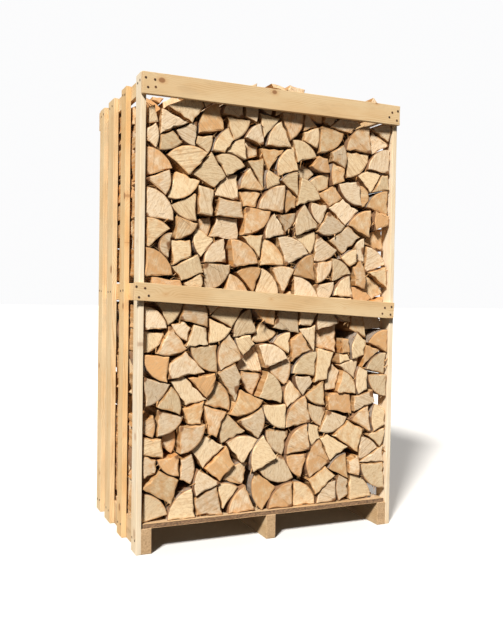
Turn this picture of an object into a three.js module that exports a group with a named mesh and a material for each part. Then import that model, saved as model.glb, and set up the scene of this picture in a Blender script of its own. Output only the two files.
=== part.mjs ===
// Tall slatted crate of sawn softwood, filled with split birch firewood stacked in three rows.
// Millimetres, +Z up. The origin is on the floor, under the middle of the crate, and the open
// front with its two rails faces -Y. Left and right are as seen from the front.

import * as THREE from "three";

// ---- Driving dimensions ----

// Crate
const WIDTH = 1250; // over the outer faces of the side slats
const DEPTH = 762; // front edge of the first side slat to the back edge of the last
const HEIGHT = 2000; // floor to the top of the side slats
const BOARD = 22; // thickness of every slat and rail
const GAP = 0.3; // clearance between faces that are nailed or rest together

// Base
const SKID_HEIGHT = 107;
const SKID_THICKNESS = 45;
const DECK_THICKNESS = 19;
const DECK_BOARDS = 7;
const DECK_BOARD_WIDTH = 92;
const DECK_END_CLEARANCE = 9; // from a deck board's end to the side slat

// Side slats, each as [distance of its front edge behind the front of the crate, width]
const LEFT_SLATS = [[0, 81], [244, 87], [471, 112], [675, 87]];
const RIGHT_SLATS = [[0, 84], [236, 90], [462, 108], [677, 85]];

// Rails
const TOP_RAIL_WIDTH = 90;
const TOP_RAIL_TOP = 1995;
const MID_RAIL_WIDTH = 75;
const MID_RAIL_LENGTH = 1265;
const MID_RAIL_OVERHANG = 25; // past one side slat, because the rail is a little too long
const MID_RAIL_LEFT_HEIGHT = 1100; // centre of the rail at its left end
const MID_RAIL_SLOPE = 0.0573; // fall per length towards the right: it was nailed on crooked
const SIDE_TOP_RAIL_WIDTH = 62;
const SIDE_TOP_RAIL_TOP = 1997;
const SIDE_MID_RAIL_WIDTH = 75;

// Firewood
const ROW_FRONT = 4; // front of the stack behind the front edge of the slats
const ROW_DEPTH = 248; // a billet's length plus the unevenness of its row
const ROW_GAP = 0.5;
const STACK_CLEARANCE = 3; // from the stack to the boards beside it
const CROWN_STEP = 50; // half the pitch of the billets along the top of a row
const CROWN_DIP = 24; // depth of the dips between those billets

// Height of each row's top across the crate, as [x, z]
const CROWNS = {
  front: [[-600, 1885], [-540, 1915], [-470, 1945], [-380, 1970], [-275, 1985], [-200, 2005],
    [-75, 2030], [170, 2030], [275, 1985], [430, 1985], [500, 2030], [560, 1990], [600, 1925]],
  middle: [[-600, 1935], [-520, 1975], [-400, 1998], [-250, 2000], [0, 2005], [300, 2005],
    [600, 1925]],
  back: [[-600, 1935], [-500, 1975], [-350, 1990], [-100, 1995], [200, 2000], [450, 1985],
    [600, 1920]],
};

// ---- Worked out from them ----

const SIDE = WIDTH / 2; // outer face of the side slats
const INSIDE = SIDE - BOARD; // inner face of the side slats
const FRONT = -DEPTH / 2;
const BACK = DEPTH / 2;
const DECK_BOTTOM = SKID_HEIGHT + GAP;
const DECK_TOP = DECK_BOTTOM + DECK_THICKNESS;

// ---- Materials ----

const wood = (color, roughness) => new THREE.MeshStandardMaterial({ color, roughness, metalness: 0 });
const slatWood = wood(0xe6cb96, 0.7);
const railWood = wood(0xe3bf83, 0.7);
const baseWood = wood(0xc9a571, 0.8);
const birch = wood(0xe2bd8c, 0.8);

// ---- Helpers ----

const crate = new THREE.Group();

// A sawn board between two corners of the crate's frame.
function board(name, low, high, material) {
  const size = high.map((value, axis) => value - low[axis]);
  const mesh = new THREE.Mesh(new THREE.BoxGeometry(...size), material);
  mesh.name = name;
  mesh.position.set(...high.map((value, axis) => (value + low[axis]) / 2));
  crate.add(mesh);
  return mesh;
}

// Height of the crooked middle rail's centre line at x.
function midRailHeight(x) {
  return MID_RAIL_LEFT_HEIGHT - MID_RAIL_SLOPE * (x + SIDE + MID_RAIL_OVERHANG);
}

// Height of a crown at x, on straight lines between its points.
function crownHeight(crown, x) {
  const next = Math.max(1, crown.findIndex(([pointX]) => pointX >= x));
  const [x0, z0] = crown[next - 1];
  const [x1, z1] = crown[next];
  return z0 + ((z1 - z0) * (x - x0)) / (x1 - x0);
}

// ---- Base: three skids on edge, deck boards across them ----

function addBase() {
  const outerSkid = INSIDE - GAP - SKID_THICKNESS / 2;
  const skids = { left: -outerSkid, middle: -4, right: outerSkid };
  for (const [place, x] of Object.entries(skids)) {
    board(
      `skid_${place}`,
      [x - SKID_THICKNESS / 2, FRONT, 0],
      [x + SKID_THICKNESS / 2, BACK, SKID_HEIGHT],
      baseWood,
    );
  }

  const pitch = (DEPTH - DECK_BOARD_WIDTH) / (DECK_BOARDS - 1);
  const end = INSIDE - DECK_END_CLEARANCE;
  for (let i = 0; i < DECK_BOARDS; i += 1) {
    const y = FRONT + pitch * i;
    board(
      `deck_board_${i + 1}`,
      [-end, y, DECK_BOTTOM],
      [end, y + DECK_BOARD_WIDTH, DECK_TOP],
      baseWood,
    );
  }
}

// ---- Sides: upright slats, nailed to the outer skids and to two inner rails ----

function addSide(place, sign, slats) {
  slats.forEach(([setBack, width], i) => {
    const faces = [sign * SIDE, sign * INSIDE].sort((a, b) => a - b);
    board(
      `slat_${place}_${i + 1}`,
      [faces[0], FRONT + setBack, 0],
      [faces[1], FRONT + setBack + width, HEIGHT],
      slatWood,
    );
  });

  const outer = INSIDE - GAP;
  const faces = [sign * outer, sign * (outer - BOARD)].sort((a, b) => a - b);
  const midTop = midRailHeight(sign * outer) + SIDE_MID_RAIL_WIDTH / 2;
  const tops = { top: [SIDE_TOP_RAIL_TOP, SIDE_TOP_RAIL_WIDTH], mid: [midTop, SIDE_MID_RAIL_WIDTH] };
  for (const [level, [top, width]] of Object.entries(tops)) {
    board(
      `side_rail_${level}_${place}`,
      [faces[0], FRONT, top - width],
      [faces[1], BACK, top],
      slatWood,
    );
  }
}

// ---- Front and back: a level top rail and a crooked middle rail each ----

function addRails(place, nailedFace, outward) {
  const faces = [nailedFace + outward * GAP, nailedFace + outward * (GAP + BOARD)];
  faces.sort((a, b) => a - b);
  board(
    `rail_${place}_top`,
    [-SIDE, faces[0], TOP_RAIL_TOP - TOP_RAIL_WIDTH],
    [SIDE, faces[1], TOP_RAIL_TOP],
    railWood,
  );

  const mid = board(
    `rail_${place}_mid`,
    [-MID_RAIL_LENGTH / 2, faces[0], -MID_RAIL_WIDTH / 2],
    [MID_RAIL_LENGTH / 2, faces[1], MID_RAIL_WIDTH / 2],
    railWood,
  );
  // The front rail runs past the left side, the back rail past the right.
  const x = outward * (SIDE + MID_RAIL_OVERHANG - MID_RAIL_LENGTH / 2);
  mid.position.x = x;
  mid.position.z = midRailHeight(x);
  mid.rotation.y = Math.atan(MID_RAIL_SLOPE);
}

// ---- Firewood: one closed solid for each row, reaching the billets' tips ----

function rowShape(crown) {
  const side = INSIDE - STACK_CLEARANCE;
  const besideRail = INSIDE - GAP - BOARD - STACK_CLEARANCE;
  const railHalf = SIDE_MID_RAIL_WIDTH / 2 + STACK_CLEARANCE;
  const underTopRail = SIDE_TOP_RAIL_TOP - SIDE_TOP_RAIL_WIDTH - STACK_CLEARANCE;
  const points = [[-side, DECK_TOP + GAP], [side, DECK_TOP + GAP]];

  // Up one side, stepping in around the side's middle rail.
  const sideSteps = (sign) => {
    const z = midRailHeight(sign * (INSIDE - GAP));
    return [
      [sign * side, z - railHalf],
      [sign * besideRail, z - railHalf],
      [sign * besideRail, z + railHalf],
      [sign * side, z + railHalf],
    ];
  };
  points.push(...sideSteps(1));

  // Across the lumpy top from right to left, inside the top rails of the sides.
  const steps = Math.floor((2 * besideRail) / CROWN_STEP / 2) * 2;
  const top = [];
  for (let i = 0; i <= steps; i += 1) {
    const x = besideRail - (2 * besideRail * i) / steps;
    top.push([x, crownHeight(crown, x) - (i % 2 ? 0 : CROWN_DIP)]);
  }
  points.push([side, Math.min(underTopRail, top[0][1])]);
  if (top[0][1] > underTopRail) points.push([besideRail, underTopRail]);
  points.push(...top, [-side, top[steps][1]]);
  points.push(...sideSteps(-1).reverse());
  return new THREE.Shape(points.map(([x, z]) => new THREE.Vector2(x, z)));
}

function addRow(place, index) {
  const geometry = new THREE.ExtrudeGeometry(rowShape(CROWNS[place]), {
    depth: ROW_DEPTH,
    bevelEnabled: false,
    steps: 1,
  });
  const mesh = new THREE.Mesh(geometry, birch);
  mesh.name = `billets_${place}`;
  // The outline is drawn in X and Z; the extrusion runs towards the front, so it starts at its back.
  mesh.rotation.x = Math.PI / 2;
  mesh.position.y = FRONT + ROW_FRONT + ROW_DEPTH * (index + 1) + ROW_GAP * index;
  crate.add(mesh);
}

// ---- The crate and its filling ----

addBase();
addSide("left", -1, LEFT_SLATS);
addSide("right", 1, RIGHT_SLATS);
addRails("front", FRONT, -1);
addRails("back", BACK, 1);
Object.keys(CROWNS).forEach(addRow);

export default crate;
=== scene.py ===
from math import cos, pi, radians, sin

import bmesh
import bpy
import numpy as np
from mathutils import Matrix, Vector, noise
from numpy.lib.stride_tricks import sliding_window_view


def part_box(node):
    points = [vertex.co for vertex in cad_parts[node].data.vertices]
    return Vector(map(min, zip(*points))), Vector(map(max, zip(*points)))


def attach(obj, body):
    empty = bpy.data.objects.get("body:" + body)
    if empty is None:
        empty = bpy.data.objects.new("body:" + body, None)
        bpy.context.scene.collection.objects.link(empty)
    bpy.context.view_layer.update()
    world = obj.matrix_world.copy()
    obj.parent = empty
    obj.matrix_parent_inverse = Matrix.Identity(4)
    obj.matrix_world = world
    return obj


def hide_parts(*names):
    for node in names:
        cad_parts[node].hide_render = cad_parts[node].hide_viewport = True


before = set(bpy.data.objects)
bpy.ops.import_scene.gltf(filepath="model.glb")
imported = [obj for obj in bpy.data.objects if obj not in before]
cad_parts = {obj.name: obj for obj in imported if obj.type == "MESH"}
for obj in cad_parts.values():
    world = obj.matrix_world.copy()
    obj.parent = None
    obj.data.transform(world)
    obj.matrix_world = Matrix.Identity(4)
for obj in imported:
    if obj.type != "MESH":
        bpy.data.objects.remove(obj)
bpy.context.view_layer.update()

# ---- Camera ----
# Stands left of the open front at chest height and looks almost level at the middle of the
# crate, with a slight roll, so that the front and the left side both show.

camera_data = bpy.data.cameras.new("camera")
camera_data.sensor_width = 36.0
camera_data.lens = 42.93
camera = bpy.data.objects.new("camera", camera_data)
camera.matrix_world = (
    Matrix.Translation((-1.451, -3.410, 1.0905))
    @ Matrix.Rotation(radians(-23.78), 4, "Z")
    @ Matrix.Rotation(radians(90.0 - 1.58), 4, "X")
    @ Matrix.Rotation(radians(0.9), 4, "Z")
)
bpy.context.scene.collection.objects.link(camera)
bpy.context.scene.camera = camera
bpy.context.scene.view_settings.view_transform = "Standard"

# ---- Light ----
# A broad, warm key from high on the left front, a much weaker and broader light from behind on
# the right for the far sides, and a pale room all round that fills the shadows.


def add_sun(name, energy, angle, colour, heading):
    data = bpy.data.lights.new(name, "SUN")
    data.energy = energy
    data.angle = radians(angle)
    data.color = colour
    sun = bpy.data.objects.new(name, data)
    sun.rotation_euler = Vector(heading).to_track_quat("-Z", "Y").to_euler()
    bpy.context.scene.collection.objects.link(sun)


add_sun("key", 5.7, 9.0, (1.0, 0.96, 0.90), (1.0, 1.05, -1.25))
add_sun("back_light", 2.0, 40.0, (1.0, 0.98, 0.95), (-0.85, -0.95, -0.7))

room = bpy.data.worlds.new("room")
room.use_nodes = True
wall = room.node_tree.nodes["Background"]
wall.inputs["Color"].default_value = (0.97, 0.97, 0.975, 1.0)
fill = room.node_tree.nodes.new("ShaderNodeBackground")
fill.inputs["Color"].default_value = (1.0, 0.89, 0.78, 1.0)
fill.inputs["Strength"].default_value = 0.10
seen = room.node_tree.nodes.new("ShaderNodeLightPath")
either = room.node_tree.nodes.new("ShaderNodeMixShader")
room.node_tree.links.new(seen.outputs["Is Camera Ray"], either.inputs[0])
room.node_tree.links.new(fill.outputs[0], either.inputs[1])
room.node_tree.links.new(wall.outputs[0], either.inputs[2])
room.node_tree.links.new(either.outputs[0], room.node_tree.nodes["World Output"].inputs["Surface"])
bpy.context.scene.world = room

# ---- Floor ----
# A plain pale floor, wide enough that its edge is never seen. It isn't part of the object, and
# it throws no light back up, so that the gaps in the stack stay dark.


def connect(value, socket):
    """Gives a socket its value, which is a number, a tuple or another node's output."""
    if isinstance(value, bpy.types.NodeSocket):
        socket.id_data.links.new(value, socket)
    else:
        socket.default_value = value


def add_node(kind, *values, material=None, **settings):
    """A shader node, with the values of its sockets in order. None leaves a socket as it is. The
    node joins those that its values come from, or a material's where it has no values."""
    if material:
        net = material.node_tree
    else:
        net = next(value.id_data for value in values if isinstance(value, bpy.types.NodeSocket))
    made = net.nodes.new(kind)
    for name, value in settings.items():
        setattr(made, name, value)
    for socket, value in zip(made.inputs, values):
        if value is not None:
            connect(value, socket)
    return made


def new_finish(name, roughness):
    """A material, and its shader, with one roughness all over."""
    material = bpy.data.materials.new(name)
    material.use_nodes = True
    shader = material.node_tree.nodes["Principled BSDF"]
    shader.inputs["Roughness"].default_value = roughness
    return material, shader


def add_piece(name, bm, materials):
    """Makes a piece of the bmesh, in its final place, with the materials given."""
    mesh = bpy.data.meshes.new(name)
    bm.to_mesh(mesh)
    bm.free()
    for material in materials:
        mesh.materials.append(material)
    piece = bpy.data.objects.new(name, mesh)
    bpy.context.scene.collection.objects.link(piece)
    return piece


floor_paint, floor_shader = new_finish("floor_paint", 0.9)
floor_shader.inputs["Base Color"].default_value = (0.88, 0.88, 0.88, 1.0)
floor_mesh = bmesh.new()
bmesh.ops.create_grid(floor_mesh, x_segments=1, y_segments=1, size=60.0)
floor = add_piece("floor", floor_mesh, [floor_paint])
floor.visible_diffuse = False

# ---- Skids and deck boards ----
# The base is three skids on edge with seven deck boards across them, of rough sawn softwood.
# Every board is sawn square; its edges are worn, its faces a little wavy.


def mix_colour(factor, first, second, blend="MIX"):
    """A mix of two colours. The node's sockets for colours are its seventh and eighth."""
    between = [None] * 5
    made = add_node(
        "ShaderNodeMix", factor, *between, first, second, data_type="RGBA", blend_type=blend
    )
    return made.outputs[2]


def calculate(operation, *values):
    return add_node("ShaderNodeMath", *values, operation=operation).outputs[0]


def multiply(first, second):
    return calculate("MULTIPLY", first, second)


def fade(value, low, high):
    """0 below low, 1 above high, and smooth between them."""
    made = add_node("ShaderNodeMapRange", value, low, high, 0.0, 1.0, interpolation_type="SMOOTHSTEP")
    return made.outputs[0]


def stretch(vector, scale):
    return add_node("ShaderNodeVectorMath", vector, scale, operation="MULTIPLY").outputs[0]


def cloud(vector, scale, detail=3.0, roughness=0.55):
    made = add_node("ShaderNodeTexNoise", vector, None, scale, detail, roughness)
    return made.outputs[0]


def roughen(shader, height, strength, distance):
    """Lets the surface rise and fall with a height, by up to a distance in metres."""
    bump = shader.id_data.nodes.new("ShaderNodeBump")
    bump.inputs["Strength"].default_value = strength
    bump.inputs["Distance"].default_value = distance
    connect(height, bump.inputs["Height"])
    connect(bump.outputs[0], shader.inputs["Normal"])


def add_colour(colour, added, where, strength=None):
    """The colour with another laid over it where a value from 0 to 1 says."""
    if strength is not None:
        where = multiply(where, strength)
    return mix_colour(where, colour, added)


FIGURE = 0.0085  # distance between the dark lines on a sawn face
SPRUCE_RING = 0.0048  # distance between growth rings on a board's end


def sawn_softwood(name, pale, warm, late, weathering=0.0, spots=1.0):
    """Rough sawn spruce: lengthwise figure that bends round small knots, and blade marks across."""
    material, shader = new_finish(name, 0.72)
    shader.inputs["Specular IOR Level"].default_value = 0.25
    # The grain is measured along, across and through the board.
    grain = add_node("ShaderNodeAttribute", material=material, attribute_name="grain").outputs["Vector"]
    _, across, through = add_node("ShaderNodeSeparateXYZ", grain).outputs

    # Knots: one in each cell of a coarse net, measured in real size from its middle.
    cells = (2.1, 7.0)  # in a metre, along and across
    net = add_node(
        "ShaderNodeTexVoronoi", stretch(grain, (*cells, 0.0)), None, 1.0,
        voronoi_dimensions="3D",
    )
    net.inputs["Randomness"].default_value = 0.9
    offset = add_node(
        "ShaderNodeVectorMath",
        stretch(grain, (1.0, 1.0, 0.0)),
        stretch(net.outputs["Position"], (1 / cells[0], 1 / cells[1], 0.0)),
        operation="SUBTRACT",
    ).outputs[0]
    knot_distance = add_node(
        "ShaderNodeVectorMath", stretch(offset, (0.75, 1.0, 0.0)),
        operation="LENGTH",
    ).outputs[1]
    luck = add_node("ShaderNodeSeparateColor", net.outputs["Color"]).outputs[0]
    knot_size = calculate("MULTIPLY_ADD", luck, 0.022, -0.006)
    from_knot = calculate("SUBTRACT", knot_distance, knot_size)
    bend = multiply(fade(from_knot, 0.045, 0.0), 0.02)

    # Figure: dark late wood lines that wander slowly along the board.
    wander = cloud(stretch(grain, (1.6, 9.0, 9.0)), 1.0, 2.0)
    phase = calculate(
        "ADD",
        calculate("MULTIPLY_ADD", wander, 0.075, across),
        calculate("ADD", bend, multiply(through, 0.8)),
    )
    lines = calculate("SINE", multiply(phase, 2 * pi / FIGURE))
    line_strength = cloud(stretch(grain, (3.0, 20.0, 20.0)), 1.0, 2.0)
    figure = multiply(fade(lines, -0.2, 1.0), fade(line_strength, 0.3, 0.75))
    fibres = cloud(stretch(grain, (14.0, 700.0, 700.0)), 1.0, 3.0)
    patches = cloud(stretch(grain, (3.5, 14.0, 14.0)), 1.0, 3.0)

    colour = mix_colour(fade(patches, 0.35, 0.7), pale, warm)
    colour = add_colour(colour, late, figure, 0.55)
    colour = add_colour(colour, late, fade(fibres, 0.55, 0.8), 0.22)
    halo = fade(from_knot, 0.016, -0.002)
    colour = add_colour(colour, (0.62, 0.31, 0.11, 1.0), halo, 0.35 * spots)
    knot = fade(from_knot, 0.002, -0.003)
    colour = add_colour(colour, (0.27, 0.11, 0.04, 1.0), knot, 0.8 * spots)
    # Grime and weathering in soft blotches.
    grime = cloud(stretch(grain, (9.0, 30.0, 30.0)), 1.0, 5.0, 0.65)
    colour = add_colour(colour, (0.20, 0.13, 0.08, 1.0), fade(grime, 0.5, 0.72), 0.12 + weathering)
    connect(colour, shader.inputs["Base Color"])

    # Blade marks run across the board; fibres stand a little proud of them.
    blade = cloud(stretch(grain, (420.0, 6.0, 6.0)), 1.0, 2.0)
    height = calculate("ADD", multiply(blade, 0.35), multiply(fibres, 0.65))
    roughen(shader, height, 0.55, 0.0012)
    return material


def sawn_across(name, pale, dark):
    """The end of a board: arcs of growth rings, fuzzy from the saw and darker than the faces."""
    material, shader = new_finish(name, 0.85)
    shader.inputs["Specular IOR Level"].default_value = 0.15
    grain = add_node("ShaderNodeAttribute", material=material, attribute_name="grain").outputs["Vector"]
    wander = cloud(grain, 22.0, 2.0)
    _, across, through = add_node("ShaderNodeSeparateXYZ", grain).outputs
    arcs = calculate("ADD", calculate("MULTIPLY_ADD", wander, 0.03, through), multiply(across, 0.6))
    rings = calculate("SINE", multiply(arcs, 2 * pi / SPRUCE_RING))
    fuzz = cloud(grain, 190.0, 4.0, 0.7)
    colour = add_colour(pale, dark, fade(rings, -0.3, 1.0), 0.5)
    colour = add_colour(colour, dark, fade(fuzz, 0.46, 0.62), 0.6)
    connect(colour, shader.inputs["Base Color"])
    roughen(shader, fuzz, 0.7, 0.0015)
    return material


CUT, WANE = 1, 2  # a board's second and third finish: sawn across, and bark left on
BOARD_STEP = 0.045  # length of board between the rings of points that let it wave
ROUGH_END = 0.0018  # how far the saw leaves an end uneven


def board_from(node_name, seed, wear=0.0016, wave=0.0009):
    """The sawn board that a CAD node stands for, with worn edges, wavy faces and rough ends.

    Its grain attribute is each point's place along, across and through the board."""
    bm = bmesh.new()
    bm.from_mesh(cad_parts[node_name].data)
    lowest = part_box(node_name)[0][2]
    bmesh.ops.remove_doubles(bm, verts=bm.verts, dist=1e-5)
    bmesh.ops.dissolve_limit(bm, angle_limit=radians(1.0), verts=bm.verts, edges=bm.edges)
    bm.verts.ensure_lookup_table()
    corner = bm.verts[0]
    sides = sorted((edge.other_vert(corner).co - corner.co for edge in corner.link_edges),
                   key=lambda side: -side.length)
    length = sides[0].length
    axes = Matrix([side.normalized() for side in sides])
    middle = sum((vert.co for vert in bm.verts), Vector()) / len(bm.verts)

    bmesh.ops.bevel(bm, geom=bm.edges[:], offset=wear, segments=2, profile=0.5,
                    affect="EDGES", material=-1)
    for i in range(1, int(length / BOARD_STEP)):
        station = middle + sides[0].normalized() * (i * BOARD_STEP - length / 2)
        bmesh.ops.bisect_plane(bm, geom=bm.verts[:] + bm.edges[:] + bm.faces[:],
                               plane_co=station, plane_no=sides[0])
    for share in (-0.25, 0.0, 0.25):
        bmesh.ops.bisect_plane(bm, geom=bm.verts[:] + bm.edges[:] + bm.faces[:],
                               plane_co=middle + sides[1] * share, plane_no=sides[1])

    grain = bm.verts.layers.float_vector.new("grain")
    shift = Vector((seed * 3.71, seed * 1.37, seed * 0.53))
    for vert in bm.verts:
        place = axes @ (vert.co - middle)
        vert[grain] = place + shift
        slow = noise.noise_vector(Vector((place.x * 5.0, seed * 7.1, place.y * 4.0)))
        rough = noise.noise_vector(
            Vector((place.x * 40.0, seed * 3.3 + place.y * 90.0, place.z * 90.0))
        )
        at_end = abs(abs(place.x) - length / 2) < wear * 2
        push = Vector((rough.x * ROUGH_END if at_end else 0.0,
                       slow.y * wave + rough.y * wave * 0.5,
                       slow.z * wave * 0.6))
        vert.co += axes.transposed() @ push
        vert.co.z = max(vert.co.z, lowest)
    bm.normal_update()
    for face in bm.faces:
        if abs(face.normal.dot(axes[0])) > 0.8:
            face.material_index = CUT
    return bm


def wane(bm, outward, depth, seed):
    """Eats into the edge of a board that still follows the log, and leaves bark there."""
    faces = [face for face in bm.faces if face.normal.dot(outward) > 0.6]
    for vert in {vert for face in faces for vert in face.verts}:
        place = vert.co
        bite = noise.noise(Vector((place.x * 6.0, seed, 0.0))) * 0.5 + 0.5
        fine = noise.noise(Vector((place.x * 45.0, seed, place.z * 60.0)))
        vert.co -= outward * (bite * depth + fine * depth * 0.35 + depth * 0.1)
    for face in faces:
        face.material_index = WANE


base_wood = sawn_softwood(
    "weathered_softwood", (0.68, 0.49, 0.29, 1.0), (0.57, 0.38, 0.20, 1.0), (0.36, 0.20, 0.09, 1.0),
    weathering=0.25,
)

deck_bark, bark_shader = new_finish("pine_bark", 0.9)
bark_grain = add_node("ShaderNodeAttribute", material=deck_bark, attribute_name="grain").outputs["Vector"]
bark_flakes = cloud(stretch(bark_grain, (90.0, 260.0, 260.0)), 1.0, 4.0, 0.7)
bark_colour = mix_colour(
    fade(bark_flakes, 0.38, 0.62), (0.13, 0.075, 0.045, 1.0), (0.40, 0.24, 0.13, 1.0)
)
connect(bark_colour, bark_shader.inputs["Base Color"])
roughen(bark_shader, bark_flakes, 0.8, 0.003)

base_cut = sawn_across("weathered_end_grain", (0.66, 0.46, 0.27, 1.0), (0.30, 0.17, 0.08, 1.0))

base_nodes = ["skid_left", "skid_middle", "skid_right"] + [f"deck_board_{i}" for i in range(1, 8)]
for seed, node_name in enumerate(base_nodes, start=1):
    bm = board_from(node_name, seed, wear=0.0022)
    if node_name == "deck_board_1":
        wane(bm, Vector((0.0, -1.0, 0.0)), 0.006, 4.0)
    if node_name == "deck_board_5":
        wane(bm, Vector((0.0, 1.0, 0.0)), 0.010, 9.0)
    board = add_piece(f"{node_name}_sawn", bm, [base_wood, base_cut, deck_bark])
    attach(board, "root")
    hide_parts(node_name)

# ---- Side slats and inner side rails ----
# Upright slats of pale new spruce close the two sides. They are nailed to the outer skids, to
# a top rail and to a middle rail, which run front to back inside them.

slat_wood = sawn_softwood(
    "pale_spruce", (0.80, 0.62, 0.38, 1.0), (0.74, 0.52, 0.28, 1.0), (0.55, 0.32, 0.13, 1.0)
)
slat_wood_warm = sawn_softwood(
    "warm_spruce", (0.80, 0.58, 0.32, 1.0), (0.74, 0.47, 0.21, 1.0), (0.52, 0.26, 0.09, 1.0)
)
slat_wood_white = sawn_softwood(
    "white_spruce", (0.88, 0.77, 0.60, 1.0), (0.84, 0.67, 0.45, 1.0), (0.70, 0.50, 0.28, 1.0),
    spots=0.5,
)

side_nodes = [f"slat_{side}_{i}" for side in ("left", "right") for i in range(1, 5)]
side_nodes += [f"side_rail_{level}_{side}" for side in ("left", "right") for level in ("top", "mid")]
slat_cut = sawn_across("new_end_grain", (0.78, 0.57, 0.34, 1.0), (0.45, 0.27, 0.13, 1.0))

picked_wood = {
    "slat_left_1": slat_wood_white,
    "slat_left_2": slat_wood_warm,
    "slat_right_1": slat_wood_white,
    "slat_right_3": slat_wood_warm,
    "side_rail_mid_left": slat_wood_warm,
}
for seed, node_name in enumerate(side_nodes, start=20):
    wood = picked_wood.get(node_name, slat_wood)
    board = add_piece(f"{node_name}_sawn", board_from(node_name, seed), [wood, slat_cut])
    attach(board, "root")
    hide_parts(node_name)

# ---- Front and back rails ----
# A level rail ties the slats together along the top of the front and of the back. The middle
# rail below it was nailed on crooked and sticks out past one side.

rail_wood = sawn_softwood(
    "yellow_spruce", (0.77, 0.58, 0.34, 1.0), (0.71, 0.49, 0.26, 1.0), (0.54, 0.32, 0.13, 1.0)
)

rail_nodes = ["rail_front_top", "rail_front_mid", "rail_back_top", "rail_back_mid"]
for seed, node_name in enumerate(rail_nodes, start=50):
    board = add_piece(f"{node_name}_sawn", board_from(node_name, seed), [rail_wood, slat_cut])
    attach(board, "root")
    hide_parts(node_name)

# ---- Nails ----
# Wire nails hold the rails to the slats and side rails, and the slats to the skids. Only their
# flat, slightly rusted heads show, driven just below the wood's surface or level with it.

nail_steel, nail_shader = new_finish("dull_steel", 0.55)
nail_shader.inputs["Metallic"].default_value = 0.6
nail_place = add_node("ShaderNodeTexCoord", material=nail_steel).outputs["Object"]
nail_rust = cloud(nail_place, 60.0, 3.0)
nail_colour = mix_colour(
    fade(nail_rust, 0.35, 0.65), (0.05, 0.03, 0.02, 1.0), (0.17, 0.08, 0.04, 1.0)
)
connect(nail_colour, nail_shader.inputs["Base Color"])

NAIL_HEAD = 0.0054  # radius
# In from the tip of a rail, and up from its middle.
RAIL_NAILS = ((0.014, 0.019), (0.022, -0.021), (0.046, 0.012), (0.060, -0.016))
SLAT_NAILS = (0.27, 0.73)  # shares of a slat's width
SKID_NAILS = 0.055  # height above the floor
nails = bmesh.new()
nail_random = np.random.default_rng(31)


def drive_nail(centre, outward):
    """A nail's head at the wood's surface, facing outward, a little askew."""
    tilt = Vector(nail_random.normal(0, 0.05, 3))
    turn = (outward + tilt).to_track_quat("Z", "Y").to_matrix().to_4x4()
    made = bmesh.ops.create_cone(
        nails, cap_ends=True, segments=10, radius1=NAIL_HEAD, radius2=NAIL_HEAD * 0.93, depth=0.0016,
        matrix=Matrix.Translation(centre + outward * 0.0006) @ turn,
    )
    rim = {edge for vert in made["verts"] for edge in vert.link_edges if edge.calc_face_angle(0) > 1}
    bmesh.ops.bevel(nails, geom=list(rim), offset=0.0003, segments=1, profile=0.5,
                    affect="EDGES", material=-1)


for node_name in rail_nodes:
    verts = [vert.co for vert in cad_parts[node_name].data.vertices]
    outward = Vector((0.0, -1.0 if "front" in node_name else 1.0, 0.0))
    face_y = max(co.dot(outward) for co in verts)
    for end in (-1.0, 1.0):
        tip = [co for co in verts if co.x * end > 0]
        height = sum(co.z for co in tip) / len(tip)
        tip_x = sum(co.x for co in tip) / len(tip)
        for inset, rise in RAIL_NAILS:
            jitter = nail_random.normal(0, 0.003, 2)
            drive_nail(
                Vector((tip_x - end * (inset + jitter[0]), outward.y * face_y, height + rise + jitter[1])),
                outward,
            )

for side, sign in (("left", -1.0), ("right", 1.0)):
    heights = {"skid": SKID_NAILS}
    for level in ("top", "mid"):
        low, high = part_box(f"side_rail_{level}_{side}")
        heights[level] = (low[2] + high[2]) / 2
    for i in range(1, 5):
        low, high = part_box(f"slat_{side}_{i}")
        for height in heights.values():
            for share in SLAT_NAILS:
                jitter = nail_random.normal(0, 0.004, 2)
                y = low[1] + (high[1] - low[1]) * share + jitter[0]
                face_x = high[0] if sign > 0 else low[0]
                drive_nail(Vector((face_x, y, height + jitter[1])), Vector((sign, 0.0, 0.0)))

nail_heads = add_piece("nail_heads", nails, [nail_steel])
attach(nail_heads, "root")

# ---- Firewood: how a row is stacked ----
# Birch rounds are sawn to stove length, split from the bark to the heart into wedges and
# squarer billets, and laid on each other with the sawn ends out. Each billet here is a split
# section dropped where it fits fairly well, and then eased a little towards its neighbours.

# Kinds of billet and their shares.
KINDS = {"wedge": 0.39, "square": 0.11, "triangle": 0.20, "rim": 0.21, "half": 0.03, "sliver": 0.06}
STEP = 0.003  # width of the strips in which the top of the pile is kept
ALLOWANCE = 0.0018  # air left round a section as it is laid
TURNS = 24  # ways round in which a section is tried
WIDEST = 72  # strips, the widest section lying flat
PATIENCE = 6  # handfuls of sections tried before a place counts as full
CARELESSNESS = 0.48  # how far a stacker is from always taking the best fit
NARROW = 20  # strips, a slot that no billet would fit into
LOST_BY_EACH = 0.0011  # square metres of air that any billet brings, so that big ones are liked
USUAL_HEIGHT = 0.08  # metres that a billet stands over the one below it
TALLNESS_COST = 1.1  # for a metre more than that
REPEAT_COST = 0.06  # for each time that a section was laid already
LOOKED_AT = 60  # cheapest fits looked at for each billet
SHORTLIST = 24  # fits of those that are compared for the slots they leave
CLEARANCE = 0.0072  # air kept between eased billets
EASINGS = 2  # times each billet is eased
REACH = 0.004  # about how far a corner moves at a time


def convex(outline):
    edge = np.roll(outline, -1, 0) - outline
    after = np.roll(edge, -1, 0)
    return np.all(edge[:, 0] * after[:, 1] - edge[:, 1] * after[:, 0] > -1e-6)


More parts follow.
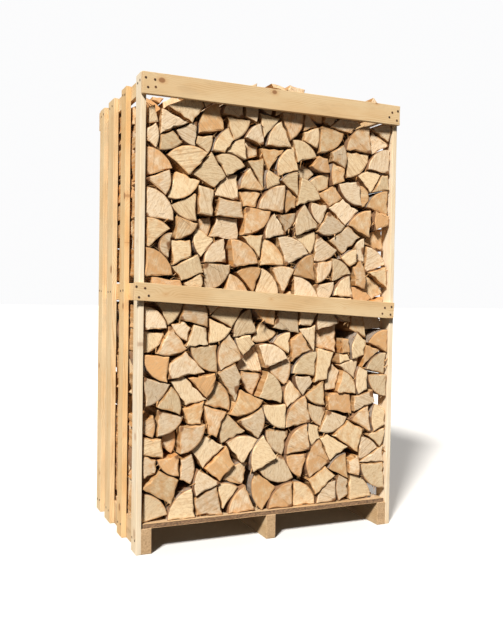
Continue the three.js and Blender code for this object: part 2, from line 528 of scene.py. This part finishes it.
def split_section(random):
    """Corners of a billet's sawn end, anticlockwise in metres, and which edges are bark."""
    kind = random.choice(list(KINDS), p=list(KINDS.values()))
    if kind == "wedge":
        radius = random.uniform(0.088, 0.132)
        spread = radians(random.uniform(50, 94))
        heart = random.uniform(0.002, 0.012)
        skew = random.uniform(-1, 1)
        turns = np.linspace(-spread / 2, spread / 2, 6)
        x = radius * np.cos(turns) * (1 + 0.05 * skew * turns)
        inner = heart * np.array([cos(spread / 2), 0.8 * sin(spread / 2)])
        bark = [False] + [True] * 5 + [False, False]
        corners = [inner * (1, -1)] + list(np.stack([x, radius * np.sin(turns)], 1)) + [inner]
    elif kind == "rim":
        radius = random.uniform(0.10, 0.14)
        spread = radians(random.uniform(36, 60))
        inner_radius = radius - random.uniform(0.055, 0.08)
        turns = np.linspace(-spread / 2, spread / 2, 5)
        inner = inner_radius * np.array(
            [random.uniform(0.9, 1.1), np.tan(spread / 2) * random.uniform(0.8, 1.1)]
        )
        bark = [False] + [True] * 4 + [False, False]
        curve = radius * np.stack([np.cos(turns), np.sin(turns)], 1)
        corners = [inner * (1, -1)] + list(curve) + [inner]
    elif kind == "half":
        radius = random.uniform(0.05, 0.07)
        spread = radians(random.uniform(160, 178))
        turns = np.linspace(-spread / 2, spread / 2, 9)
        bark = [True] * 8 + [False]
        corners = list(radius * np.stack([np.cos(turns), np.sin(turns)], 1))
    else:
        if kind == "square":
            w, h = random.uniform(0.066, 0.118, 2)
            unevenness = 0.015
            corners = [(-w / 2, -h / 2), (w / 2, -h / 2), (w / 2, h / 2), (-w / 2, h / 2)]
        elif kind == "triangle":
            w, h = random.uniform(0.085, 0.14), random.uniform(0.065, 0.105)
            unevenness = 0.005
            corners = [(-w / 2, -h / 3), (w / 2, -h / 3), (random.uniform(-0.3, 0.3) * w, 2 * h / 3)]
        else:
            w, h = random.uniform(0.025, 0.045), random.uniform(0.04, 0.07)
            unevenness = 0.004
            corners = [(-w / 2, -h / 2), (w / 2, -h / 2), (w / 2 * random.uniform(0.2, 1), h / 2),
                       (-w / 2, h / 2 * random.uniform(0.5, 1))]
        corners = np.array(corners) + random.normal(0, unevenness, (len(corners), 2))
        bark = [False] * len(corners)
    corners = np.array(corners)
    return (corners, bark) if convex(corners) else split_section(random)


def shadow_of(outline, strips):
    """The lowest and the highest point of an outline over each strip."""
    x = (np.arange(strips) + 0.5) * STEP
    start, end = outline, np.roll(outline, -1, 0)
    run = end[:, 0] - start[:, 0]
    run = np.where(np.abs(run) < 1e-9, 1e-9, run)[:, None]
    z = start[:, 1:] + (end[:, 1] - start[:, 1])[:, None] * (x - start[:, :1]) / run
    left = np.minimum(start[:, :1], end[:, :1])
    right = np.maximum(start[:, :1], end[:, :1])
    over = (x >= left - 1e-9) & (x <= right + 1e-9)
    return np.where(over, z, np.inf).min(0), np.where(over, z, -np.inf).max(0)


def turned(outline, angle):
    return outline @ np.array([[cos(angle), sin(angle)], [-sin(angle), cos(angle)]])


def wood_pile(random, count):
    """A heap of sections to choose from, each with its underside and top for every way round."""
    heap = {"sections": [], "under": [], "over": [], "strips": [], "area": [], "angle": [], "left": []}
    for _ in range(count):
        section = split_section(random)
        x, z = section[0].T
        area = 0.5 * np.sum(x * np.roll(z, -1) - z * np.roll(x, -1))
        heap["sections"].append(section)
        for i in range(TURNS):
            angle = 2 * pi * (i + random.uniform(-0.5, 0.5)) / TURNS
            outline = turned(section[0], angle)
            left = outline[:, 0].min() - ALLOWANCE
            outline = outline - (left, 0)
            strips = int(np.ceil((outline[:, 0].max() + ALLOWANCE) / STEP))
            under, over = shadow_of(outline, strips)
            hit = np.flatnonzero(np.isfinite(under))
            under, over = (np.interp(np.arange(strips), hit, edge[hit]) for edge in (under, over))
            spare = WIDEST - strips
            heap["under"].append(np.pad(under - ALLOWANCE, (0, spare), constant_values=np.inf))
            heap["over"].append(np.pad(over + ALLOWANCE, (0, spare), constant_values=-np.inf))
            heap["strips"].append(strips)
            heap["area"].append(area)
            heap["angle"].append(angle)
            heap["left"].append(left)
    return {key: value if key == "sections" else np.array(value) for key, value in heap.items()}


def narrow_slots(pile_top):
    """Area of the slots in the top of the pile that no billet would fit into."""
    padded = np.pad(pile_top, NARROW, constant_values=pile_top.max() + 1)
    bridged = sliding_window_view(sliding_window_view(padded, NARROW).max(1), NARROW).min(1)
    return (bridged[: len(pile_top)] - pile_top).sum() * STEP


def stack_row(width, crown, ledges, random, heap, choice):
    """Lays billets from the deck to the crown, each picked from a choice of so many sections.
    Heights are above the deck.

    A ledge is (side, bottom, top, depth): a board along a side wall that billets rest under
    and over. Returns each billet as (outline, which edges are bark)."""
    strips = int(width / STEP)
    pile = np.zeros(strips)
    limit = crown(np.arange(strips) * STEP)
    ledges = [
        (slice(0, int(depth / STEP)) if side < 0 else slice(strips - int(depth / STEP), strips), low, high)
        for side, low, high, depth in ledges
    ]
    full = np.zeros(strips, bool)
    laid = []
    times_used = np.zeros(len(heap["sections"]))
    misses = 0
    while True:
        for ledge in [ledge for ledge in ledges if pile[ledge[0]].max() > ledge[1] - 0.03]:
            pile[ledge[0]] = np.maximum(pile[ledge[0]], ledge[2])
            ledges.remove(ledge)
        ceiling = limit.copy()
        for span, low, _ in ledges:
            ceiling[span] = np.minimum(ceiling[span], low)

        # The next billet goes on the lowest place that isn't full yet.
        target = int(np.argmin(np.where(full, np.inf, pile) + random.uniform(0, 0.012, strips)))
        if full[target]:
            return laid
        picks = random.choice(len(heap["sections"]), choice, replace=False)
        tried = (picks[:, None] * TURNS + np.arange(TURNS)).ravel()
        spans = heap["strips"][tried][:, None]
        under = heap["under"][tried]
        places = np.arange(max(0, target - WIDEST + 2), target + 1, 2)
        padded = np.pad(pile, (0, WIDEST), constant_values=9.0)
        below = np.array([padded[place:place + WIDEST] for place in places])
        rest = (below[None] - under[:, None, :]).max(2)

        # Air trapped below it counts against a billet, and so does standing tall.
        ground = np.concatenate([[0.0], np.cumsum(padded)])
        air = spans * rest + np.where(np.isfinite(under), under, 0).sum(1)[:, None]
        air = (air - ground[places + spans] + ground[places][None]) * STEP
        top = rest + heap["over"][tried].max(1)[:, None]
        cost = (air + LOST_BY_EACH) / heap["area"][tried][:, None]
        cost = cost + TALLNESS_COST * (top - pile[target] - USUAL_HEIGHT)
        cost += times_used[tried // TURNS][:, None] * REPEAT_COST
        cost += random.uniform(0, CARELESSNESS, cost.shape)
        around = slice(max(0, target - WIDEST), target + WIDEST)
        cost[top > ceiling[around].max()] = np.inf
        cost[(places + spans <= target) | (places + spans > strips)] = np.inf

        best = None
        compared = 0
        for flat in np.argsort(cost, axis=None)[:LOOKED_AT]:
            i, j = np.unravel_index(flat, cost.shape)
            span = slice(places[j], places[j] + spans[i, 0])
            over = rest[i, j] + heap["over"][tried[i], : spans[i, 0]]
            if not np.isfinite(cost[i, j]) or np.any(over > ceiling[span]):
                continue
            after = pile.copy()
            after[span] = over
            near = slice(max(0, span.start - 40), span.stop + 40)
            lost = narrow_slots(after[near]) - narrow_slots(pile[near])
            total = cost[i, j] + lost / heap["area"][tried[i]]
            if best is None or total < best[0]:
                best = (total, tried[i], places[j] * STEP, rest[i, j], after)
            compared += 1
            if compared == SHORTLIST:
                break
        if best is None:
            misses += 1
            if misses == PATIENCE:
                full[max(0, target - 6): target + 7] = True
                misses = 0
            continue
        misses = 0
        _, entry, x, z, pile = best
        corners, bark = heap["sections"][entry // TURNS]
        outline = turned(corners, heap["angle"][entry]) + (x - heap["left"][entry], z)
        laid.append((outline, bark))
        times_used[entry // TURNS] += 1


def outward_normals(outline):
    edge = np.roll(outline, -1, 0) - outline
    length = np.hypot(edge[:, 0], edge[:, 1])
    normal = np.stack([edge[:, 1], -edge[:, 0]], 1)
    return normal[length > 1e-6] / length[length > 1e-6][:, None]


def clear(first, first_normals, second, second_normals, gap):
    """Whether two convex outlines are at least a gap apart."""
    ahead = (second @ first_normals.T).min(0) - (first @ first_normals.T).max(0)
    if ahead.max() >= gap:
        return True
    ahead = (first @ second_normals.T).min(0) - (second @ second_normals.T).max(0)
    return ahead.max() >= gap


def ease_row(laid, width, crown, boards, random):
    """Lets every billet's corners out in a few small steps, clear of its neighbours."""
    outlines = [outline.copy() for outline, _ in laid]
    normals = [outward_normals(outline) for outline in outlines]
    walls = [(board, outward_normals(board)) for board in boards]
    middles = np.array([outline.mean(0) for outline in outlines])
    radii = np.array([np.hypot(*(o - m).T).max() for o, m in zip(outlines, middles)])
    for _ in range(EASINGS):
        for i in random.permutation(len(laid)):
            distance = np.hypot(*(middles - middles[i]).T)
            near = [j for j in np.flatnonzero(distance < radii + radii[i] + 0.03) if j != i]
            bark = laid[i][1]
            corners = len(bark)
            curved = [k for k in range(corners) if bark[k] or bark[k - 1]]
            moves = [[k] for k in range(corners) if k not in curved]
            if curved:
                moves += [curved, curved[:1], curved[-1:]]
            for move in moves:
                outline = outlines[i]
                eased = outline.copy()
                if len(move) > 1:
                    # A curved side moves out whole, square to its chord.
                    chord = outline[curved[-1]] - outline[curved[0]]
                    eased[move] += np.array([chord[1], -chord[0]]) / np.hypot(*chord) * REACH * 0.7
                else:
                    k = move[0]
                    away = (
                        outline[k] - outline.mean(0),
                        outline[k] - outline[k - 1],
                        outline[k] - outline[(k + 1) % corners],
                    )[random.integers(3)]
                    eased[k] += away / np.hypot(*away) * REACH * random.uniform(0.4, 1.3)
                within = eased[:, 0].min() > 0.001 and eased[:, 0].max() < width - 0.001
                within = within and eased[:, 1].min() > 0.001
                if not within or np.any(eased[:, 1] > crown(eased[:, 0]) - 0.002) or not convex(eased):
                    continue
                around = [(outlines[j], normals[j]) for j in near] + walls
                facing = outward_normals(eased)
                if all(clear(eased, facing, other, theirs, CLEARANCE) for other, theirs in around):
                    outlines[i], normals[i] = eased, facing
            middles[i] = outlines[i].mean(0)
            radii[i] = np.hypot(*(outlines[i] - middles[i]).T).max()
    return [(outline, bark) for outline, (_, bark) in zip(outlines, laid)]


# ---- Firewood: the finish of birch ----
# A billet shows three surfaces: sawn ends with faint rings round the tree's heart, split faces
# with torn fibres along them, and thin papery bark. All three follow the tree's own measure,
# kept on each billet as its distance from the heart and along the trunk.


def birch_inputs(material):
    """The tree's measure, and the billet's tone, stain, chance and bark radius."""
    tree = add_node("ShaderNodeAttribute", material=material, attribute_name="tree").outputs["Vector"]
    billet = add_node("ShaderNodeAttribute", material=material, attribute_name="billet")
    tone, stain, chance = add_node("ShaderNodeSeparateColor", billet.outputs["Color"]).outputs
    return tree, tone, stain, chance, billet.outputs["Alpha"]


def toned(colour, tone, low, high):
    """The colour, darker or lighter by the billet's tone."""
    made = add_node("ShaderNodeMapRange", tone, 0.0, 1.0, low, high)
    return mix_colour(1.0, colour, made.outputs[0], blend="MULTIPLY")


BIRCH_RING = 0.0042


def birch_end():
    material, shader = new_finish("birch_sawn_end", 0.8)
    shader.inputs["Specular IOR Level"].default_value = 0.15
    tree, tone, stain, chance, bark_radius = birch_inputs(material)
    edge = add_node("ShaderNodeAttribute", material=material, attribute_name="rim").outputs["Fac"]
    u, v, _ = add_node("ShaderNodeSeparateXYZ", tree).outputs
    flat = stretch(tree, (1.0, 1.0, 0.0))
    wobble = cloud(flat, 18.0, 3.0)
    from_heart = add_node("ShaderNodeVectorMath", flat, operation="LENGTH").outputs[1]
    ring_place = calculate("MULTIPLY_ADD", wobble, 0.010, from_heart)
    rings = calculate("SINE", multiply(ring_place, 2 * pi / BIRCH_RING))
    turn = calculate("ARCTAN2", v, u)

    # Cream wood, paler or pinker from billet to billet, a little darker in soft streaks.
    clouds = cloud(flat, 30.0, 4.0, 0.6)
    colour = mix_colour(fade(chance, 0.2, 0.8), (0.88, 0.70, 0.45, 1.0), (0.88, 0.72, 0.52, 1.0))
    colour = add_colour(colour, (0.76, 0.52, 0.28, 1.0), fade(clouds, 0.42, 0.70), 0.42)
    # Orange where the wood has weathered, along the rim first and over whole corners of a few.
    orange = cloud(flat, 24.0, 3.0, 0.6)
    rim_share = multiply(edge, 0.34)
    weathered = calculate("ADD", calculate("MULTIPLY_ADD", stain, 0.60, orange), rim_share)
    colour = add_colour(colour, (0.70, 0.35, 0.12, 1.0), fade(weathered, 0.68, 1.02), 0.78)
    # Fibres torn along the cut, which runs a different way on each billet.
    swing = multiply(chance, 2 * pi)
    cosine = calculate("COSINE", swing)
    sine = calculate("SINE", swing)
    slant = calculate("ADD", multiply(u, cosine), multiply(v, sine))
    with_cut = calculate("SUBTRACT", multiply(v, cosine), multiply(u, sine))
    torn = cloud(add_node(
        "ShaderNodeCombineXYZ", multiply(slant, 170.0),
        multiply(with_cut, 55.0), multiply(chance, 50.0),
    ).outputs[0], 1.0, 4.0, 0.7)
    colour = add_colour(colour, (0.60, 0.40, 0.22, 1.0), fade(torn, 0.44, 0.66), 0.58)
    # Small dark flecks and specks of dirt.
    flecks = cloud(flat, 210.0, 3.0, 0.7)
    colour = add_colour(colour, (0.34, 0.19, 0.10, 1.0), fade(flecks, 0.60, 0.72), 0.55)
    # The dark heart of some trees.
    heart = fade(calculate("MULTIPLY_ADD", wobble, -0.03, from_heart), 0.010, 0.001)
    in_this_tree = fade(chance, 0.40, 0.55)
    colour = add_colour(colour, (0.27, 0.13, 0.06, 1.0), heart, in_this_tree)
    colour = add_colour(colour, (0.50, 0.30, 0.14, 1.0), fade(rings, 0.1, 1.0), 0.20)

    # The saw's teeth leave lines along the cut, plainer on some billets.
    saw = cloud(add_node(
        "ShaderNodeCombineXYZ", multiply(slant, 150.0),
        multiply(with_cut, 6.0), multiply(chance, 30.0),
    ).outputs[0], 1.0, 2.0)
    turn_of_luck = calculate("FRACT", multiply(chance, 7.0))
    plainness = calculate("MULTIPLY_ADD", fade(turn_of_luck, 0.45, 0.9), 0.42, 0.14)
    colour = add_colour(colour, (0.50, 0.31, 0.16, 1.0), fade(saw, 0.48, 0.68), plainness)

    # Drying cracks run out from the heart on some billets.
    crack_phase = calculate("ADD", multiply(turn, 2.5), calculate("MULTIPLY_ADD", chance, 40.0, wobble))
    crack_turn = calculate("ABSOLUTE", calculate("SINE", crack_phase))
    crack_width = multiply(crack_turn, from_heart)
    crack_reach = fade(cloud(flat, 22.0, 1.0), 0.50, 0.56)
    on_this_billet = multiply(crack_reach, fade(chance, 0.35, 0.45))
    crack = multiply(fade(crack_width, 0.0011, 0.0003), on_this_billet)
    colour = add_colour(colour, (0.13, 0.06, 0.03, 1.0), crack, 0.85)

    # A thin brown line where the bark meets the sawn end.
    rim = fade(calculate("SUBTRACT", from_heart, bark_radius), -0.0035, -0.0015)
    colour = add_colour(colour, (0.24, 0.13, 0.07, 1.0), rim, 0.75)
    connect(toned(colour, tone, 0.74, 1.10), shader.inputs["Base Color"])

    height = calculate("ADD", multiply(saw, 0.5), multiply(torn, 0.8))
    height = calculate("SUBTRACT", height, multiply(crack, 2.0))
    roughen(shader, height, 0.8, 0.0025)
    return material


def birch_split():
    material, shader = new_finish("birch_split_face", 0.75)
    shader.inputs["Specular IOR Level"].default_value = 0.2
    tree, tone, stain, _, _ = birch_inputs(material)
    fibres = cloud(stretch(tree, (420.0, 420.0, 9.0)), 1.0, 4.0, 0.6)
    streaks = cloud(stretch(tree, (60.0, 60.0, 4.0)), 1.0, 3.0)
    colour = mix_colour(fade(streaks, 0.35, 0.65), (0.64, 0.41, 0.21, 1.0), (0.43, 0.23, 0.09, 1.0))
    colour = add_colour(colour, (0.34, 0.18, 0.08, 1.0), fade(fibres, 0.5, 0.75), 0.4)
    stained = calculate("MULTIPLY_ADD", stain, 0.5, streaks)
    colour = add_colour(colour, (0.58, 0.27, 0.08, 1.0), fade(stained, 0.7, 1.1))
    connect(toned(colour, tone, 0.78, 1.05), shader.inputs["Base Color"])
    roughen(shader, fibres, 0.8, 0.002)
    return material


def birch_bark():
    material, shader = new_finish("birch_bark", 0.7)
    tree, tone, _, chance, _ = birch_inputs(material)
    # Lenticels are dark dashes round the trunk; brown inner bark shows where the skin is gone.
    dashes = cloud(stretch(tree, (22.0, 22.0, 420.0)), 1.0, 2.0)
    rubbed = cloud(tree, 22.0, 4.0, 0.65)
    colour = mix_colour(fade(dashes, 0.56, 0.64), (0.36, 0.29, 0.23, 1.0), (0.06, 0.04, 0.025, 1.0))
    worn = calculate("MULTIPLY_ADD", chance, 0.4, rubbed)
    colour = add_colour(colour, (0.30, 0.16, 0.08, 1.0), fade(worn, 0.55, 0.72))
    connect(toned(colour, tone, 0.75, 1.1), shader.inputs["Base Color"])
    roughen(shader, calculate("SUBTRACT", rubbed, dashes), 0.7, 0.0015)
    return material


birch_finishes = [birch_end(), birch_split(), birch_bark()]

# ---- Firewood: the three rows ----
# Rather more than two hundred billets lie in each of three rows, one row behind the other.
# Every billet is one length of split trunk; its ends are sawn, its sides torn by the axe.

END, SPLIT, BARK = 0, 1, 2
LENGTHS = 3  # stretches along a billet, so that its sides can wander
RIM = 0.007  # width of the broken rim round a sawn end
CHIP = 0.0018  # usual depth of the chips in it
NO_BARK = 9.0  # a bark radius so far out that no bark shows
TEAR = 0.024  # length of split side between the points that let it wander
TORN_BY = (-0.0020, 0.0048)  # how far those points lie inwards
BEHIND_FACE = 0.002  # least distance of a sawn end behind the face of the row's solid
UNEVENNESS = (1.3, 2.2)  # shape of a beta draw: most ends lie well out, a few far back
PUSHED_IN = (0.012, 0.040)  # how much further back a few billets lie
PUSHED_IN_SHARE = 0.11
SPLINTER_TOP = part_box("rail_front_top")[0][2]  # loose splinters above it have fallen away


def heart_of(outline, bark, random):
    """Where the tree's heart lay in the plane of the sawn end, and how far out its bark was."""
    curved = [k for k in range(len(bark)) if bark[k] or bark[k - 1]]
    if not curved:
        away = random.uniform(0, 2 * pi)
        reach = random.uniform(0.045, 0.10)
        return outline.mean(0) + reach * np.array([cos(away), sin(away)]), NO_BARK
    first, mid, last = outline[curved[0]], outline[curved[len(curved) // 2]], outline[curved[-1]]
    rows = 2 * np.array([mid - first, last - first])
    centre = np.linalg.solve(rows, [mid @ mid - first @ first, last @ last - first @ first])
    return centre, float(np.hypot(*(mid - centre)))


def torn_outline(outline, bark, random):
    """The outline with extra points that let a split edge wander, and which edges are bark."""
    points, marks = [], []
    for k, start in enumerate(outline):
        end = outline[(k + 1) % len(outline)]
        length = np.hypot(*(end - start))
        parts = 1 if bark[k] else 1 + int(length / TEAR)
        inward = np.array([start[1] - end[1], end[0] - start[0]]) / max(length, 1e-6)
        for part in range(parts):
            point = start + (end - start) * (part / parts)
            if part:
                point = point + inward * random.uniform(*TORN_BY)
            points.append(point)
            marks.append(bark[k])
    return np.array(points), marks


def add_billet(row, layers, outline, bark, depths, corner, random):
    """One billet from its outline, between two depths, with its measures of the tree."""
    heart, bark_radius = heart_of(outline, bark, random)
    points, marks = torn_outline(outline, bark, random)
    near = [row.verts.new((corner[0] + x, depths[0], corner[1] + z)) for x, z in points]
    place = {vert: k for k, vert in enumerate(near)}
    rings = [near]
    front = cap = row.faces.new(near)
    for _ in range(LENGTHS):
        inner = cap
        made = bmesh.ops.extrude_face_region(row, geom=[cap])["geom"]
        cap = next(item for item in made if isinstance(item, bmesh.types.BMFace))
        if inner is not front:
            row.faces.remove(inner)
        ring = [item for item in made if isinstance(item, bmesh.types.BMVert)]
        bmesh.ops.translate(row, verts=ring, vec=(0.0, (depths[1] - depths[0]) / LENGTHS, 0.0))
        for vert in ring:
            before = next(e.other_vert(vert) for e in vert.link_edges if e.other_vert(vert) in rings[-1])
            place[vert] = place[before]
        for face in {face for vert in ring for face in vert.link_faces} - {cap}:
            ends = sorted({place[vert] for vert in face.verts})
            k = ends[1] if ends == [0, len(near) - 1] else ends[0]
            face.material_index = BARK if marks[k] else SPLIT
        rings.append(ring)

    # The saw and the axe leave the rim of each sawn end chipped.
    tree_layer, billet_layer, rim_layer = layers
    ends = []
    for end, inwards in ((front, 1.0), (cap, -1.0)):
        rim = list(end.verts)
        bmesh.ops.inset_individual(row, faces=[end], thickness=0.0)
        centre = end.calc_center_median()
        for vert in end.verts:
            to_centre = centre - vert.co
            vert.co += to_centre * min(RIM / to_centre.length, 0.4)
        for vert in rim:
            vert[rim_layer] = 1.0
            vert.co.y += inwards * min(random.exponential(CHIP), 4 * CHIP)
        ends.append(set(rim) | set(end.verts))

    # Sawn ends are never quite square, and the sides wander with the fibres.
    middle = Vector((corner[0] + outline[:, 0].mean(), 0.0, corner[1] + outline[:, 1].mean()))
    slopes = random.normal(0, 0.030, 4)
    chance = random.uniform(0, 1)
    start = random.uniform(0, 3)
    measures = (random.beta(2.2, 1.6), random.beta(1.1, 2.2), chance, bark_radius)
    between = {vert for ring in rings[1:-1] for vert in ring}
    for vert in ends[0] | ends[1] | between:
        x, y, z = vert.co
        vert[tree_layer] = (x - corner[0] - heart[0], z - corner[1] - heart[1], y + start)
        vert[billet_layer] = measures
        away = vert.co - middle
        if vert in between:
            sway = noise.noise_vector(Vector((x * 14.0 + chance * 90.0, y * 9.0, z * 14.0)))
            vert.co += Vector((sway.x, 0.0, sway.z)) * 0.0026
        elif vert in ends[0]:
            vert.co.y += slopes[0] * away.x + slopes[1] * away.z
        else:
            vert.co.y += slopes[2] * away.x + slopes[3] * away.z


def inside(point, outline):
    """Whether a point is within a convex outline."""
    edge = np.roll(outline, -1, 0) - outline
    away = point - outline
    return np.all(edge[:, 0] * away[:, 1] - edge[:, 1] * away[:, 0] > 0)


def add_splinters(node_name, seed, laid, corner, faces, outward, count):
    """Splinters torn half off the billets' rims, standing out into the gaps of a row's face."""
    random = np.random.default_rng(seed)
    heap = bmesh.new()
    tree_layer = heap.verts.layers.float_vector.new("tree")
    billet_layer = heap.verts.layers.float_color.new("billet")
    for _ in range(count):
        i = random.integers(len(laid))
        outline, bark = laid[i]
        k = random.integers(len(outline))
        along = outline[(k + 1) % len(outline)] - outline[k]
        length = np.hypot(*along)
        if length < 0.012:
            continue
        along = along / length
        square = np.array([along[1], -along[0]])
        root = outline[k] + along * length * random.uniform(0.1, 0.9)
        lean = along * random.uniform(-1.4, 1.4) + square
        lean = lean / np.hypot(*lean)
        size = random.uniform(0.010, 0.034)
        tip = root + lean * size
        if corner[1] + tip[1] > SPLINTER_TOP or any(inside(tip, other) for other, _ in laid):
            continue
        start = root - lean * 0.004
        forward = Vector((lean[0], outward * random.uniform(0.0, 0.5), lean[1])).normalized()
        depth = faces[i] - outward * random.uniform(0.001, 0.014)
        thick = random.uniform(0.0016, 0.0050)
        foot = Vector((corner[0] + start[0], depth, corner[1] + start[1]))
        turn = forward.to_track_quat("Z", "Y").to_matrix().to_4x4()
        flat = Matrix.Diagonal((1.0, random.uniform(0.3, 0.8), 1.0, 1.0))
        made = bmesh.ops.create_cone(
            heap, cap_ends=True, segments=4, radius1=thick, radius2=thick * 0.15, depth=size + 0.004,
            matrix=Matrix.Translation(foot + forward * (size / 2 + 0.002)) @ turn @ flat,
        )
        measures = (random.uniform(0.3, 1.0), random.uniform(0, 0.8), random.uniform(0, 1), NO_BARK)
        for vert in made["verts"]:
            vert[tree_layer] = (vert.co.x, vert.co.z, vert.co.y)
            vert[billet_layer] = measures
    bmesh.ops.recalc_face_normals(heap, faces=heap.faces[:])
    splinters = add_piece(f"{node_name}_splinters", heap, [birch_finishes[SPLIT]])
    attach(splinters, "root")


def set_on_top(laid, x, height):
    """Puts a pointed billet on the stack, in place of whatever lies there."""
    point = np.array([(x, height), (x - 0.065, height - 0.075), (x + 0.060, height - 0.072)])
    normals = outward_normals(point)
    kept = [(outline, bark) for outline, bark in laid
            if clear(outline, outward_normals(outline), point, normals, 0.003)]
    return kept + [(point, [False] * 3)]


def row_of_billets(node_name, seed, choice, recess, peak_x=None):
    """A row in the space of its CAD solid. Recess is how far its two faces are uneven. A row
    with a peak has a pointed billet standing up there, above the top rail."""
    low, high = (np.array(end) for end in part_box(node_name))
    corners = [np.array(vert.co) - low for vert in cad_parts[node_name].data.vertices]
    top = sorted((x, z) for x, _, z in corners if z > 0.85 * (high[2] - low[2]))
    top_x, top_z = np.array(top).T
    top_z = sliding_window_view(np.pad(top_z, 4, mode="edge"), 9).max(1)
    width = high[0] - low[0]

    def crown(x):
        return np.interp(x, top_x, top_z)

    ledges, boards = [], []
    for side, sign in (("left", -1), ("right", 1)):
        rail_low, rail_high = (np.array(end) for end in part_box(f"side_rail_mid_{side}"))
        bottom, over = rail_low[2] - low[2] - 0.002, rail_high[2] - low[2] + 0.002
        reach = rail_high[0] - low[0] if sign < 0 else high[0] - rail_low[0]
        ledges.append((sign, bottom, over, reach + 0.003))
        left, right = (-0.05, reach) if sign < 0 else (width - reach, width + 0.05)
        boards.append(np.array([(left, bottom), (right, bottom), (right, over), (left, over)]))

    random = np.random.default_rng(seed)
    heap = wood_pile(random, 200)
    laid = stack_row(width, crown, ledges, random, heap, choice)
    if peak_x is not None:
        laid = set_on_top(laid, peak_x - low[0], high[2] - low[2] - 0.001)
    laid = ease_row(laid, width, crown, boards, random)

    row = bmesh.new()
    layers = (
        row.verts.layers.float_vector.new("tree"),
        row.verts.layers.float_color.new("billet"),
        row.verts.layers.float.new("rim"),
    )
    fronts, backs = [], []
    over_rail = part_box("rail_front_top")[1][2] + 0.015 - low[2]
    for outline, bark in laid:
        pushed_in = random.uniform(*PUSHED_IN) if random.uniform() < PUSHED_IN_SHARE else 0.0
        if outline[:, 1].max() > over_rail:
            pushed_in = -0.3 * recess[0]
        front = low[1] + recess[0] * random.beta(*UNEVENNESS) + pushed_in
        fronts.append(max(low[1] + BEHIND_FACE, front))
        backs.append(high[1] - BEHIND_FACE - recess[1] * random.beta(*UNEVENNESS))
        add_billet(row, layers, outline, bark, (fronts[-1], backs[-1]), (low[0], low[2]), random)
    bmesh.ops.recalc_face_normals(row, faces=row.faces[:])
    piece = add_piece(f"{node_name}_split", row, birch_finishes)
    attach(piece, "root")
    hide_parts(node_name)
    return laid, (low[0], low[2]), fronts, backs


front_laid, front_corner, front_faces, _ = row_of_billets(
    "billets_front", 5, 48, (0.028, 0.012), peak_x=0.503
)
row_of_billets("billets_middle", 17, 24, (0.012, 0.012))
back_laid, back_corner, _, back_faces = row_of_billets("billets_back", 29, 32, (0.012, 0.020))
add_splinters("billets_front", 41, front_laid, front_corner, front_faces, -1.0, 1500)
add_splinters("billets_back", 43, back_laid, back_corner, back_faces, 1.0, 1500)
